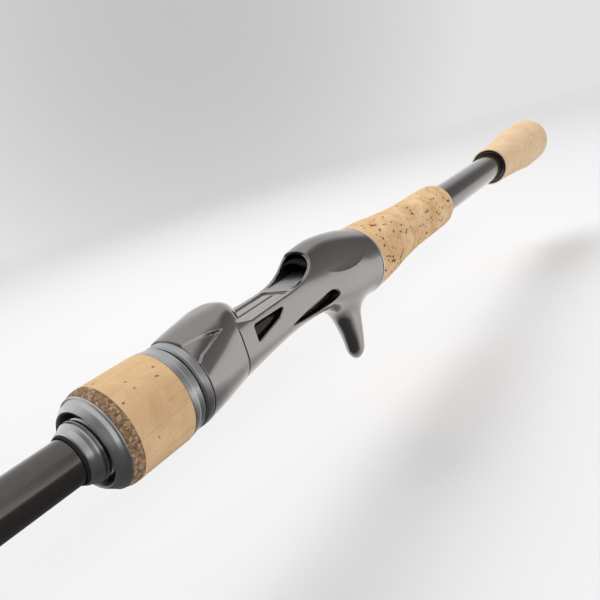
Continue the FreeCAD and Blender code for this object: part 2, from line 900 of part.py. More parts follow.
def tip_top():
    """Guide on the tip: a tube over the blank's end, a ring above it held by three wires, and a wrap behind."""
    start = "(rod_length - tip_tube_length)"
    ring_x = "(tip_tube_length - ring_width)"
    sleeve = turned(
        "TipTube",
        [
            ("0", "blank_tip_radius + fit_gap"),
            ("0", "blank_tip_radius + tip_tube_wall"),
            ("tip_tube_length", "blank_tip_radius + tip_tube_wall"),
            ("tip_tube_length", "0"),
            ("tip_tube_length - 1.9", "0"),
            ("tip_tube_length - 1.9", "blank_tip_radius + fit_gap"),
        ],
    )
    parts = [sleeve, holder("TipHolder", "tip_guide_ring", "tip_ring_height + 0.6", ring_x)]
    top = value("tip_ring_height + 0.6")
    side = value("tip_guide_ring + holder_wall / 2")
    middle = value(f"{ring_x} + ring_width / 2")
    for hand in (-1, 1):
        parts.append(wire(f"TipLeg{hand}", Vector(1.2, hand * 1.45, 0.3), Vector(middle, hand * side, top)))
    space = ring_space("TipSpace", "tip_guide_ring", "tip_ring_height + 0.6", ring_x)
    frame = cut("tip_top_frame", fuse("TipWires", parts), space)
    place(frame, start)
    keep(frame, "tip_top_frame")
    ring_body = turned("tip_top_ring", ring_outline("tip_guide_hole", "tip_guide_ring", "ring_width"))
    place(ring_body, f"{start} + {ring_x}", "tip_ring_height + 0.6")
    keep(ring_body, "tip_top_ring")
    sleeve = wrap("TipWrap", "-9", "-0.1", f"{blank_radius(f'{start} - 9')} + 0.03")
    place(sleeve, f"{start} - 9")
    keep(sleeve, "tip_top_wrap")


def check_document():
    """Stop if any object failed or any piece isn't a valid closed solid."""
    for thing in doc.Objects:
        if "Invalid" in thing.State or "Error" in thing.State:
            raise RuntimeError(f"{thing.Name} failed: {thing.State}")
    for piece in pieces:
        shape = piece.Shape
        if shape.isNull() or not shape.isValid() or not shape.Solids:
            raise RuntimeError(f"{piece.Label} has no valid solid")


def export():
    os.makedirs("parts", exist_ok=True)
    for piece in pieces:
        piece.Shape.exportStep(f"parts/{piece.Label}.step")
        bounds = piece.Shape.BoundBox
        print(f"{piece.Label}: {len(piece.Shape.Solids)} solid(s), {piece.Shape.Volume:.1f} mm3, {bounds}")


fill_sheet()
ALIASES = [sheet.getAlias(f"B{row}") for row in range(1, len(SIZES) + 3 * len(GUIDES) + 3)]
blank()
butt_grip()
butt_check()
rear_grip()
seat_body()
seat_liners()
arbors()
sliding_hood()
locking_nut()
front_trim()
for guide_number in range(1, len(GUIDES) + 1):
    guide(guide_number)
tip_top()
doc.recompute()
check_document()
export()
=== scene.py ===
import math

import bpy
import numpy as np
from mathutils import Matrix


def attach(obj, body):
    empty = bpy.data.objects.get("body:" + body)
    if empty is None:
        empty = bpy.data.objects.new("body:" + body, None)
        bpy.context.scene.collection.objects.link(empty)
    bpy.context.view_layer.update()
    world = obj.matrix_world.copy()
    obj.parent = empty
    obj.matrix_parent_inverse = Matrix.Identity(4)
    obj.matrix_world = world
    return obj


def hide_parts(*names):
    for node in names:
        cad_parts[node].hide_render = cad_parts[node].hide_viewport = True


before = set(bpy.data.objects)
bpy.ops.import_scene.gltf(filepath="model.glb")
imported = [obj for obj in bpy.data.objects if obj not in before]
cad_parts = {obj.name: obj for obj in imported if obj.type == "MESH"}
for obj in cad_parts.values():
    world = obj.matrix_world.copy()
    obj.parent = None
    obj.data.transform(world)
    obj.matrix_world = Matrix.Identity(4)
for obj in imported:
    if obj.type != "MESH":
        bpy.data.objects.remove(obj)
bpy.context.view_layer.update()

import openvdb
from mathutils import Matrix, Vector

# Shapes are drawn in millimetres: s along the rod from the butt end, y across and z up from the rod's axis.
BUTT_TO_DECK = 313.0
DECK = 7.3


def to_frame(points):
    """From millimetres round the rod's axis to metres in the part's frame."""
    points = np.asarray(points, float)
    return (points - np.array([BUTT_TO_DECK, 0.0, DECK])) / 1000


# ---------------------------------------------------------------- camera, floor and light

CAMERA_PLACE = (0.12894, 0.12368, 0.04777)
CAMERA_RIGHT = (-0.54914, 0.78803, -0.27829)
CAMERA_UP = (-0.38602, 0.05617, 0.92078)
FLOOR_Z = -0.078


def link(name, data):
    thing = bpy.data.objects.new(name, data)
    bpy.context.scene.collection.objects.link(thing)
    return thing


def add_camera():
    data = bpy.data.cameras.new("camera")
    data.sensor_width = 36.0
    data.lens = 36.0
    data.clip_start = 0.005
    data.clip_end = 60.0
    camera = link("camera", data)
    right, up = Vector(CAMERA_RIGHT), Vector(CAMERA_UP)
    turn = Matrix((right, up, right.cross(up))).transposed().to_4x4()
    camera.matrix_world = Matrix.Translation(CAMERA_PLACE) @ turn
    bpy.context.scene.camera = camera


def add_area(name, place, size, power):
    """A soft light aimed at the reel seat, not itself mirrored in the plating."""
    data = bpy.data.lights.new(name, "AREA")
    data.shape = "RECTANGLE"
    data.size, data.size_y = size
    data.energy = power
    light = link(name, data)
    light.location = place
    light.rotation_euler = (-Vector(place)).to_track_quat("-Z", "Y").to_euler()
    light.visible_glossy = False


# ---------------------------------------------------------------- node helpers


class Graph:
    """Short-hand for building a node tree."""

    def __init__(self, tree):
        self.tree = tree

    def add(self, kind, **props):
        node = self.tree.nodes.new(f"ShaderNode{kind}")
        for key, value in props.items():
            setattr(node, key, value)
        return node

    def link(self, source, target):
        self.tree.links.new(source, target)

    def feed(self, socket, value):
        """Give a socket another node's output, a colour or a number."""
        if isinstance(value, bpy.types.NodeSocket):
            self.link(value, socket)
        else:
            socket.default_value = (*value, 1) if isinstance(value, tuple) else value

    def mix(self, factor, first, second, blend="MIX"):
        node = self.add("Mix", data_type="RGBA", blend_type=blend)
        for index, value in ((0, factor), (6, first), (7, second)):
            self.feed(node.inputs[index], value)
        return node.outputs[2]

    def maths(self, operation, first, second):
        node = self.add("Math", operation=operation)
        self.feed(node.inputs[0], first)
        self.feed(node.inputs[1], second)
        return node.outputs[0]

    def along(self, vector, direction):
        """How far a vector reaches in a fixed direction."""
        node = self.add("VectorMath", operation="DOT_PRODUCT")
        self.link(vector, node.inputs[0])
        node.inputs[1].default_value = direction
        return node.outputs["Value"]

    def span(self, value, start, end, first, last, way="SMOOTHSTEP"):
        """Carry the range from start to end over to first to last, held at both ends."""
        node = self.add("MapRange", interpolation_type=way)
        for name, number in (("From Min", start), ("From Max", end), ("To Min", first), ("To Max", last)):
            node.inputs[name].default_value = number
        self.link(value, node.inputs["Value"])
        return node.outputs["Result"]


class Nodes(Graph):
    """The node tree of a new material, round its Principled shader."""

    def __init__(self, name):
        self.material = bpy.data.materials.new(name)
        self.material.use_nodes = True
        super().__init__(self.material.node_tree)
        self.shader = self.tree.nodes["Principled BSDF"]

    def set(self, **values):
        for key, value in values.items():
            self.feed(self.shader.inputs[key.replace("_", " ")], value)
        return self

    def coords(self, scale=(1, 1, 1)):
        """Object coordinates, stretched."""
        place = self.add("TexCoord")
        mapping = self.add("Mapping")
        mapping.inputs["Scale"].default_value = scale
        self.link(place.outputs["Object"], mapping.inputs["Vector"])
        return mapping.outputs["Vector"]

    def noise(self, vector, scale, detail=3.0, rough=0.5, distortion=0.0):
        node = self.add("TexNoise")
        node.inputs["Scale"].default_value = scale
        node.inputs["Detail"].default_value = detail
        node.inputs["Roughness"].default_value = rough
        node.inputs["Distortion"].default_value = distortion
        self.link(vector, node.inputs["Vector"])
        return node.outputs["Fac"]

    def voronoi(self, vector, scale, feature="F1", output="Distance"):
        node = self.add("TexVoronoi", feature=feature)
        node.inputs["Scale"].default_value = scale
        self.link(vector, node.inputs["Vector"])
        return node.outputs[output]

    def ramp(self, source, *stops):
        node = self.add("ValToRGB")
        elements = node.color_ramp.elements
        while len(elements) < len(stops):
            elements.new(0.5)
        for element, (place, color) in zip(elements, stops):
            element.position = place
            element.color = (*color, 1) if isinstance(color, tuple) else (color, color, color, 1)
        self.link(source, node.inputs["Fac"])
        return node.outputs["Color"]

    def red(self, color):
        """The first channel of a colour."""
        node = self.add("SeparateColor")
        self.link(color, node.inputs["Color"])
        return node.outputs[0]

    def attribute(self, name):
        return self.add("Attribute", attribute_name=name, attribute_type="GEOMETRY").outputs["Fac"]

    def bump(self, height, strength, distance):
        node = self.add("Bump")
        node.inputs["Strength"].default_value = strength
        node.inputs["Distance"].default_value = distance
        self.link(height, node.inputs["Height"])
        self.link(node.outputs["Normal"], self.shader.inputs["Normal"])

    def finish(self, color, roughness, height, strength, distance):
        """Feed the shader's colour, roughness and bump, and give the material."""
        self.feed(self.shader.inputs["Base Color"], color)
        self.feed(self.shader.inputs["Roughness"], roughness)
        self.bump(height, strength, distance)
        return self.material


# ---------------------------------------------------------------- materials


def gunmetal():
    """Dark polished plating: mirror-like, with faint wear in its roughness."""
    m = Nodes("dark polished plating").set(Metallic=1.0)
    place = m.coords()
    haze = m.ramp(m.noise(place, 90.0, 4.0), (0.35, 0.10), (0.7, 0.16))
    color = m.mix(m.noise(place, 25.0, 2.0), (0.37, 0.35, 0.335), (0.44, 0.42, 0.405))
    return m.finish(color, haze, m.noise(place, 900.0, 2.0), 0.04, 0.0001)


def satin(name, color, roughness):
    """Turned and blasted metal with fine rings round the axis."""
    m = Nodes(name).set(Metallic=1.0, Anisotropic=0.3)
    rings = m.noise(m.coords((1, 0.05, 0.05)), 9000.0, 2.0)
    wear = m.ramp(m.noise(m.coords(), 300.0, 3.0), (0.3, roughness - 0.06), (0.7, roughness + 0.08))
    return m.finish(m.mix(rings, darker(color, 0.85), color), wear, rings, 0.15, 0.00002)


def darker(color, share):
    return tuple(channel * share for channel in color)


def polished(name, color, roughness):
    m = Nodes(name).set(Metallic=1.0)
    place = m.coords((1, 0.1, 0.1))
    wear = m.ramp(m.noise(place, 2500.0, 2.0), (0.3, roughness * 0.7), (0.7, roughness * 1.4))
    return m.finish(color, wear, m.noise(place, 6000.0, 2.0), 0.08, 0.00002)


def deck_finish():
    """The same plating blasted dull where the reel foot lies."""
    m = Nodes("dull plating").set(Metallic=0.35, Specular_IOR_Level=0.5)
    place = m.coords()
    grain = m.noise(place, 2500.0, 3.0)
    color = m.mix(m.noise(place, 300.0), (0.33, 0.325, 0.32), (0.42, 0.415, 0.41))
    return m.finish(color, m.ramp(grain, (0.3, 0.40), (0.7, 0.55)), grain, 0.15, 0.00003)


def black_plastic():
    m = Nodes("black moulded plastic").set(Specular_IOR_Level=0.2)
    place = m.coords()
    grain = m.noise(place, 1800.0, 3.0)
    color = m.mix(m.noise(place, 400.0), (0.008, 0.008, 0.009), (0.02, 0.02, 0.021))
    return m.finish(color, m.ramp(grain, (0.3, 0.38), (0.7, 0.55)), grain, 0.2, 0.00005)


def black_rubber():
    m = Nodes("black rubber")
    grain = m.noise(m.coords(), 3000.0, 3.0)
    return m.finish((0.01, 0.01, 0.01), m.ramp(grain, (0.3, 0.55), (0.7, 0.75)), grain, 0.3, 0.00004)


def blank_finish():
    """Dark metallic paint over carbon, under a clear gloss coat."""
    m = Nodes("painted carbon blank").set(Metallic=0.9, Coat_Weight=1.0, Coat_Roughness=0.03, Coat_IOR=1.5)
    fibre = m.noise(m.coords((0.15, 1, 1)), 2600.0, 2.0)
    flake = m.voronoi(m.coords(), 9000.0, output="Color")
    color = m.mix(0.10, m.mix(fibre, (0.085, 0.072, 0.066), (0.15, 0.13, 0.12)), flake, "OVERLAY")
    return m.finish(color, m.ramp(fibre, (0.3, 0.17), (0.7, 0.24)), fibre, 0.04, 0.00002)


def cork(name, light, dark, mottling=0.5):
    """Sanded cork: warm grain in soft patches, fine specks, and dark pits where the mesh is pitted."""
    m = Nodes(name).set(Specular_IOR_Level=0.25)
    place = m.coords()
    patches = m.noise(place, 110.0, 5.0, 0.6, 0.6)
    cells = m.voronoi(m.coords((1.0, 1.35, 1.35)), 1500.0)
    fine = m.noise(place, 1400.0, 4.0, 0.65)
    color = m.mix(m.ramp(patches, (0.5 - mottling / 2, 0.0), (0.5 + mottling / 2, 1.0)), light, dark)
    color = m.mix(m.ramp(cells, (0.15, 0.35), (0.6, 0.0)), color, darker(light, 0.78))
    color = m.mix(m.ramp(fine, (0.60, 0.0), (0.72, 0.55)), color, (0.42, 0.22, 0.10))
    streaks = m.noise(m.coords((0.06, 1, 1)), 900.0, 3.0)
    color = m.mix(m.ramp(streaks, (0.58, 0.0), (0.75, 0.4)), color, darker(dark, 0.7))
    color = m.mix(m.maths("MULTIPLY", m.attribute("band"), 0.5), color, darker(dark, 0.72))
    color = m.mix(m.ramp(m.attribute("pit"), (0.12, 0.0), (0.55, 0.92)), color, (0.10, 0.045, 0.02))
    return m.finish(color, m.ramp(fine, (0.3, 0.62), (0.7, 0.82)), m.mix(0.5, fine, cells), 0.25, 0.00006)


def burl_cork():
    """Speckled cork made of glued crumbs."""
    m = Nodes("speckled composite cork").set(Specular_IOR_Level=0.25)
    place = m.coords()
    crumbs = m.red(m.voronoi(place, 1700.0, output="Color"))
    edges = m.voronoi(place, 1700.0, feature="DISTANCE_TO_EDGE")
    tone = m.ramp(crumbs, (0.0, (0.13, 0.075, 0.042)), (0.35, (0.22, 0.14, 0.08)),
                  (0.7, (0.32, 0.21, 0.12)), (1.0, (0.48, 0.33, 0.20)))
    color = m.mix(m.ramp(edges, (0.02, 0.6), (0.09, 0.0)), tone, (0.12, 0.07, 0.04))
    return m.finish(color, m.ramp(edges, (0.0, 0.8), (0.2, 0.6)), edges, 0.3, 0.00008)


def thread_wrap():
    """Dark thread, its turns showing through a thick glossy varnish."""
    m = Nodes("varnished thread").set(Coat_Weight=1.0, Coat_Roughness=0.04)
    turns = m.noise(m.coords((1, 0.02, 0.02)), 7000.0, 1.0)
    color = m.mix(turns, (0.008, 0.008, 0.009), (0.03, 0.026, 0.025))
    return m.finish(color, m.ramp(turns, (0.3, 0.3), (0.7, 0.45)), turns, 0.1, 0.00003)


def ceramic():
    m = Nodes("polished ceramic").set(Coat_Weight=0.6, Coat_Roughness=0.02)
    cloud = m.noise(m.coords(), 800.0, 3.0)
    color = m.mix(cloud, (0.022, 0.022, 0.025), (0.045, 0.045, 0.05))
    return m.finish(color, m.ramp(cloud, (0.3, 0.08), (0.7, 0.16)), cloud, 0.03, 0.00002)


def foam():
    m = Nodes("rigid foam")
    cells = m.voronoi(m.coords(), 2500.0)
    color = m.mix(cells, (0.58, 0.55, 0.47), (0.4, 0.37, 0.31))
    return m.finish(color, m.ramp(cells, (0.0, 0.7), (1.0, 0.9)), cells, 0.3, 0.0001)


# ---------------------------------------------------------------- meshes


def make_piece(name, body, materials, vertices, faces, replaced):
    """A smooth mesh in the part's frame from millimetre points, riding on a body."""
    mesh = bpy.data.meshes.new(name)
    mesh.from_pydata(to_frame(vertices).tolist(), [], [tuple(map(int, f)) for f in faces])
    mesh.validate()
    mesh.update()
    mesh.shade_smooth()
    piece = link(name, mesh)
    for kind in materials:
        mesh.materials.append(MATERIALS[kind])
    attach(piece, body)
    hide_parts(*replaced)
    return piece


NEARLY_STRAIGHT = 3.05  # radians
ROUNDING_STEPS = 4


def rounded(profile, radius):
    """A closed profile with its corners rounded. A point may carry its own radius as a third item."""
    made = []
    count = len(profile)
    for index, item in enumerate(profile):
        here = np.array(item[:2], float)
        back = np.array(profile[index - 1][:2], float) - here
        ahead = np.array(profile[(index + 1) % count][:2], float) - here
        reach_back, reach_ahead = np.linalg.norm(back), np.linalg.norm(ahead)
        size = item[2] if len(item) == 3 else radius
        back, ahead = back / reach_back, ahead / reach_ahead
        angle = math.acos(max(-1.0, min(1.0, float(back @ ahead))))
        if angle > NEARLY_STRAIGHT or size <= 0:
            made.append(here)
            continue
        trim = min(size / math.tan(angle / 2), 0.45 * reach_back, 0.45 * reach_ahead)
        start, end = here + back * trim, here + ahead * trim
        for step in range(ROUNDING_STEPS + 1):
            t = step / ROUNDING_STEPS
            made.append((1 - t) ** 2 * start + 2 * t * (1 - t) * here + t ** 2 * end)
    return np.array(made)


def closely(profile, step):
    """A closed profile with points no further apart than the step."""
    made = []
    count = len(profile)
    for index in range(count):
        start, end = profile[index], profile[(index + 1) % count]
        pieces = max(1, int(math.ceil(np.linalg.norm(end - start) / step)))
        for number in range(pieces):
            made.append(start + (end - start) * number / pieces)
    return np.array(made)


def lathe_mesh(profile, segments, shift=None):
    """Points and quads of a closed profile turned round the axis.

    The shift gives how far each point moves outwards, from its station, angle and radius.
    """
    angles = np.arange(segments) * 2 * math.pi / segments
    stations = np.repeat(profile[:, 0][:, None], segments, 1)
    radii = np.repeat(profile[:, 1][:, None], segments, 1)
    around = np.repeat(angles[None, :], len(profile), 0)
    if shift is not None:
        radii = radii + shift(stations, around, radii)
    points = np.stack([stations, radii * np.cos(around), radii * np.sin(around)], -1).reshape(-1, 3)
    rows, columns = np.meshgrid(np.arange(len(profile)), np.arange(segments), indexing="ij")
    next_row, next_column = (rows + 1) % len(profile), (columns + 1) % segments
    quads = np.stack([
        rows * segments + columns, rows * segments + next_column,
        next_row * segments + next_column, next_row * segments + columns,
    ], -1).reshape(-1, 4)
    return points, quads


def clockwise(profile):
    """The profile in the order that makes a lathed surface face outwards."""
    x, y = profile[:, 0], profile[:, 1]
    area = float(np.sum(x * np.roll(y, -1) - np.roll(x, -1) * y))
    return profile if area < 0 else profile[::-1]


def lathe(name, body, material, profile, replaced, radius, segments, step=None, shift=None):
    """A turned piece with rounded corners."""
    outline = rounded(profile, radius)
    if step:
        outline = closely(outline, step)
    points, quads = lathe_mesh(clockwise(outline), segments, shift)
    return make_piece(name, body, [material], points, quads, replaced)


# ---------------------------------------------------------------- distance fields


def spline(stations, values):
    """Natural cubic spline through the points, flat beyond its ends."""
    x, y = np.array(stations, float), np.array(values, float)
    count = len(x)
    gap = np.diff(x)
    system = np.eye(count)
    right = np.zeros(count)
    for i in range(1, count - 1):
        system[i, i - 1:i + 2] = gap[i - 1], 2 * (gap[i - 1] + gap[i]), gap[i]
        right[i] = 3 * ((y[i + 1] - y[i]) / gap[i] - (y[i] - y[i - 1]) / gap[i - 1])
    c = np.linalg.solve(system, right)
    b = np.diff(y) / gap - gap * (2 * c[:-1] + c[1:]) / 3
    d = np.diff(c) / (3 * gap)

    def at(s):
        s = np.clip(s, x[0], x[-1])
        i = np.clip(np.searchsorted(x, s) - 1, 0, count - 2)
        t = s - x[i]
        return y[i] + b[i] * t + c[i] * t ** 2 + d[i] * t ** 3

    return at


def both(a, b, soft=0.0):
    """Intersection, with the edge rounded over the soft width."""
    if soft <= 0:
        return np.maximum(a, b)
    h = np.clip(0.5 + 0.5 * (a - b) / soft, 0, 1)
    return b + (a - b) * h + soft * h * (1 - h)


def either(a, b, soft=0.0):
    """Union, with the corner filled over the soft width."""
    return -both(-a, -b, soft)


def without(a, b, soft=0.0):
    return both(a, -b, soft)


def polygon_field(points, x, y):
    """Signed distance to a closed polygon, negative inside."""
    points = np.asarray(points, float)
    shape = x.shape
    x, y = x.ravel(), y.ravel()
    nearest = np.full(x.shape, 1e9)
    inside = np.zeros(x.shape, bool)
    for start, end in zip(points, np.roll(points, -1, 0)):
        along = end - start
        t = np.clip(((x - start[0]) * along[0] + (y - start[1]) * along[1]) / (along @ along), 0, 1)
        dx, dy = x - start[0] - along[0] * t, y - start[1] - along[1] * t
        nearest = np.minimum(nearest, dx * dx + dy * dy)
        crosses = (start[1] > y) != (end[1] > y)
        if abs(along[1]) > 1e-12:
            inside ^= crosses & (x < start[0] + along[0] * (y - start[1]) / along[1])
    return (np.sqrt(nearest) * np.where(inside, -1, 1)).reshape(shape)


class Plate:
    """A polygon's distance sampled once on a fine grid, so that it can be read for any number of points."""

    def __init__(self, points, step, margin):
        points = np.asarray(points, float)
        self.low = points.min(0) - margin
        high = points.max(0) + margin
        self.step = step
        columns = np.arange(self.low[0], high[0] + step, step)
        rows = np.arange(self.low[1], high[1] + step, step)
        x, y = np.meshgrid(columns, rows, indexing="ij")
        self.grid = polygon_field(points, x, y)

    def at(self, x, y):
        u = np.clip((x - self.low[0]) / self.step, 0, self.grid.shape[0] - 1.001)
        v = np.clip((y - self.low[1]) / self.step, 0, self.grid.shape[1] - 1.001)
        i, j = u.astype(int), v.astype(int)
        a, b = u - i, v - j
        g = self.grid
        return ((g[i, j] * (1 - a) + g[i + 1, j] * a) * (1 - b)
                + (g[i, j + 1] * (1 - a) + g[i + 1, j + 1] * a) * b)


SETTLING_MOVES = 4


def gradient(field, points, step=0.02):
    made = np.empty_like(points)
    for axis in range(3):
        shift = np.zeros(3)
        shift[axis] = step
        made[:, axis] = field(*(points + shift).T) - field(*(points - shift).T)
    return made / (2 * step)


def field_mesh(field, low, high, step):
    """Mesh of a field that is alike on both sides of the middle plane, with its exact normals.

    The points of the grid's mesh are moved onto the surface itself, at most half a step at a time.
    """
    axes = [np.arange(low[i] - 2 * step, high[i] + 3 * step, step) for i in range(3)]
    half = np.arange(0.0, high[1] + 3 * step, step)
    s, y, z = np.meshgrid(axes[0], half, axes[2], indexing="ij")
    values = field(s.ravel(), y.ravel(), z.ravel()).reshape(s.shape)
    values = np.concatenate([values[:, :0:-1], values], 1).astype(np.float32)
    reach = 3 * step
    values = np.clip(values, -reach, reach)
    grid = openvdb.FloatGrid(reach)
    grid.copyFromArray(values, tolerance=0.0)
    points, quads = grid.convertToQuads(isovalue=0.0)
    points = points.astype(float) * step + np.array([axes[0][0], -half[-1], axes[2][0]])
    for _ in range(SETTLING_MOVES):
        here = field(*points.T)
        slope = gradient(field, points)
        size = np.maximum((slope ** 2).sum(1), 0.05)
        move = slope * (here / size)[:, None]
        length = np.linalg.norm(move, axis=1)
        move *= np.minimum(1.0, 0.5 * step / np.maximum(length, 1e-9))[:, None]
        points -= move
    normals = gradient(field, points, 0.05)
    normals /= np.maximum(np.linalg.norm(normals, axis=1), 1e-9)[:, None]
    return points, quads[:, ::-1], normals


def field_piece(name, body, materials, field, low, high, replaced, finish=None):
    """A piece from a distance field. The finish gives each face the number of its material."""
    points, quads, normals = field_mesh(field, low, high, 0.27)
    piece = make_piece(name, body, materials, points, quads, replaced)
    mesh = piece.data
    facing = np.empty(len(mesh.polygons) * 3)
    mesh.polygons.foreach_get("normal", facing)
    first = quads[:, 0]
    if float(np.sum(facing.reshape(-1, 3) * normals[first])) < 0:
        mesh.flip_normals()
    mesh.normals_split_custom_set_from_vertices(normals.tolist())
    if finish is not None:
        centres = points[quads].mean(1)
        mesh.polygons.foreach_set("material_index", finish(*centres.T).astype(np.int32))


# ---------------------------------------------------------------- seat

SEAT_REAR, SEAT_FRONT = 256.25, 332.2
SEAT_STATIONS = [SEAT_REAR, 262, 270, 280, 290, 300, 312, 323, SEAT_FRONT]
SEAT_HALF = spline(SEAT_STATIONS, [13.4, 12.3, 11.0, 9.6, 8.5, 8.0, 8.1, 8.6, 9.4])
SEAT_TOP = spline(SEAT_STATIONS, [13.4, 14.9, 16.3, 17.1, 16.0, 14.0, 12.5, 12.5, 12.5])
SEAT_BOTTOM = spline(SEAT_STATIONS, [13.4, 12.2, 10.6, 8.8, 7.6, 7.1, 7.6, 8.9, 9.9])
SEAT_TOP_POWER = spline(SEAT_STATIONS, [2.0, 2.0, 2.1, 2.2, 2.5, 3.2, 3.8, 3.8, 3.8])
SEAT_BOTTOM_POWER = spline(SEAT_STATIONS, [2.0, 2.0, 2.0, 2.1, 2.2, 2.2, 2.2, 2.1, 2.0])

TRIGGER_DEPTHS = [0, 7.2, 11.5, 17, 23, 28, 31.5, 34]
TRIGGER_STATION = spline(TRIGGER_DEPTHS, [270.5, 269.4, 268.9, 268.7, 268.5, 268.8, 269.1, 269.3])
TRIGGER_REACH = spline(TRIGGER_DEPTHS, [12.0, 10.4, 8.5, 6.8, 5.3, 4.3, 3.7, 3.3])
TRIGGER_HALF = spline(TRIGGER_DEPTHS, [7.6, 6.2, 5.2, 4.6, 4.0, 3.5, 3.1, 2.8])
TRIGGER_CAP, TRIGGER_TIP = 29.0, 33.5
TRIGGER_POWER, TRIGGER_BLEND = 1.9, 7.0


def oval_field(y, z, half, reach, power):
    """Rough distance to a superellipse."""
    size = ((np.abs(y) / half) ** power + (np.abs(z) / reach) ** power) ** (1 / power)
    radius = np.hypot(y, z)
    return radius * (1 - 1 / np.maximum(size, 1e-6))


def seat_skin(s, y, z):
    """Outside of the seat without its trigger, before anything is taken out."""
    reach = np.where(z >= 0, SEAT_TOP(s), SEAT_BOTTOM(s))
    power = np.where(z >= 0, SEAT_TOP_POWER(s), SEAT_BOTTOM_POWER(s))
    return oval_field(y, z, SEAT_HALF(s), reach, power)


def trigger_skin(s, y, z):
    """Blade below the axis, drawn in to a round tip."""
    depth = np.clip(-z, 0, TRIGGER_TIP + 2)
    close = np.clip((depth - TRIGGER_CAP) / (TRIGGER_TIP - TRIGGER_CAP), 0, 0.995)
    shrink = np.sqrt(1 - close ** 2)
    flat = oval_field(y, s - TRIGGER_STATION(depth), TRIGGER_HALF(depth) * shrink,
                      TRIGGER_REACH(depth) * shrink, TRIGGER_POWER)
    return both(both(flat, -z - TRIGGER_TIP, 0.3), z)


def arc_points(*points, steps=8):
    """Points along a smooth curve through the given ones."""
    points = np.array(points, float)
    padded = np.vstack([2 * points[0] - points[1], points, 2 * points[-1] - points[-2]])
    made = []
    for i in range(1, len(padded) - 2):
        a, b, c, d = padded[i - 1:i + 3]
        for step in range(steps):
            t = step / steps
            made.append(0.5 * (2 * b + (c - a) * t + (2 * a - 5 * b + 4 * c - d) * t ** 2
                               + (3 * b - a - 3 * c + d) * t ** 3))
    made.append(points[-1])
    return [tuple(p) for p in made]


MOUTH_LIP = arc_points((309, 7.3), (304, 7.32), (300.2, 7.6), (296.6, 8.2), (293.3, 9.4), (290.8, 11.1),
                       (289.2, 13.1), (288.9, 15.0), (290.2, 17.0), (293.5, 20.0))
# Side views of what is taken out of the seat: the space over the deck, the windows and the slots behind them.
CLEARING = Plate([(345, 24), (345, DECK)] + MOUTH_LIP + [(299, 24)], 0.1, 20)
WINDOW = Plate(rounded([(325.7, 0.4), (325.7, 5.2), (324.9, 5.6), (311.3, 5.05), (311.0, 4.2), (313.4, 2.75),
                        (318.0, 1.8)], 0.5), 0.05, 4)
SLOT = Plate(arc_points((307.8, -2.55), (302.5, -1.75), (297.8, -1.1), (291, -0.45), (285.6, 0.05),
                        (283.0, -0.9), (281.9, -2.7), (283.6, -3.95), (288.2, -4.3), (292.7, -4.35),
                        (301.5, -3.6), (307.8, -2.6), steps=4), 0.05, 4)
OPENING_FLOOR = 3.0  # windows and slots stop this far from the middle plane
RIM = spline([320, 325.0, 328.5, 332.2, 336], [DECK, DECK + 0.02, 8.2, 9.2, 9.4])
DECK_HALF, DECK_REAR = 7.0, 309
FOOT_HALF, FOOT_END, FOOT_SHOULDER, FOOT_TOP, FOOT_MOUTH = 6.0, 279.5, 8.6, 15.0, 300.0
TROUGH_REAR, TROUGH_HALF, TROUGH_DEPTH = 303.0, 5.4, 0.5
GROOVE_REAR, GROOVE_HALF, GROOVE_DEPTH = 305.0, 0.55, 0.75
BORE, POCKET, POCKET_END = 6.5, 10.4, 271.25


def foot_space(s, y, z, half=FOOT_HALF, end=FOOT_END, top=FOOT_TOP, shoulder=FOOT_SHOULDER):
    """U-ended slot with an arched roof, above the deck."""
    centre = end + half
    plan = np.where(s < centre, np.hypot(s - centre, y) - half, np.abs(y) - half)
    rise = top - shoulder
    radius = (half ** 2 + rise ** 2) / (2 * rise)
    roof = np.hypot(y, z - (top - radius)) - radius
    return both(both(plan, roof, 0.6), DECK - z)


def seat_field(s, y, z):
    """The whole seat: skin and trigger, less everything that is taken out of them."""
    y = np.abs(y)
    solid = either(seat_skin(s, y, z), trigger_skin(s, y, z), TRIGGER_BLEND)
    solid = both(solid, SEAT_REAR - s, 0.25)
    solid = both(solid, s - SEAT_FRONT, 0.25)
    over_rims = both(CLEARING.at(s, z), RIM(s) - z)
    over_deck = both(both(CLEARING.at(s, z), y - DECK_HALF), DECK_REAR - s)
    solid = without(solid, either(over_rims, over_deck, 0.2), 0.5)
    solid = without(solid, both(foot_space(s, y, z), s - FOOT_MOUTH), 0.25)
    trough = both(both(y - TROUGH_HALF, TROUGH_REAR - s, 0.3), DECK - TROUGH_DEPTH - z)
    solid = without(solid, trough, 0.15)
    groove = both(both(y - GROOVE_HALF, GROOVE_REAR - s, 0.2), DECK - GROOVE_DEPTH - z)
    solid = without(solid, groove, 0.12)
    solid = without(solid, both(WINDOW.at(s, z), OPENING_FLOOR - y), 0.5)
    solid = without(solid, both(SLOT.at(s, z), OPENING_FLOOR - y), 0.6)
    return without(solid, np.hypot(y, z) - np.where(s < POCKET_END, POCKET, BORE))


def seat_finish(s, y, z):
    """Number of each face's material: polished, black inside the openings, dull on the rear of the deck."""
    polished_number, black_number, dull_number = 0, 1, 2
    y = np.abs(y)
    depth = seat_skin(s, y, z)
    in_opening = (np.minimum(WINDOW.at(s, z), SLOT.at(s, z)) < 0.35) & (depth < -1.6) & (y > OPENING_FLOOR)
    in_bore = np.hypot(y, z) < BORE + 0.1
    in_mouth = (foot_space(s, y, z) < 0.15) & (z > DECK + 0.15) & (s < 294.5) & (depth < -0.6)
    on_deck = (np.abs(z - DECK) < 0.12) & (s < TROUGH_REAR + 0.3) & (s > 275) & (y < 7.2)
    return np.select([in_opening | in_bore | in_mouth, on_deck], [black_number, dull_number], polished_number)


# ---------------------------------------------------------------- sliding hood

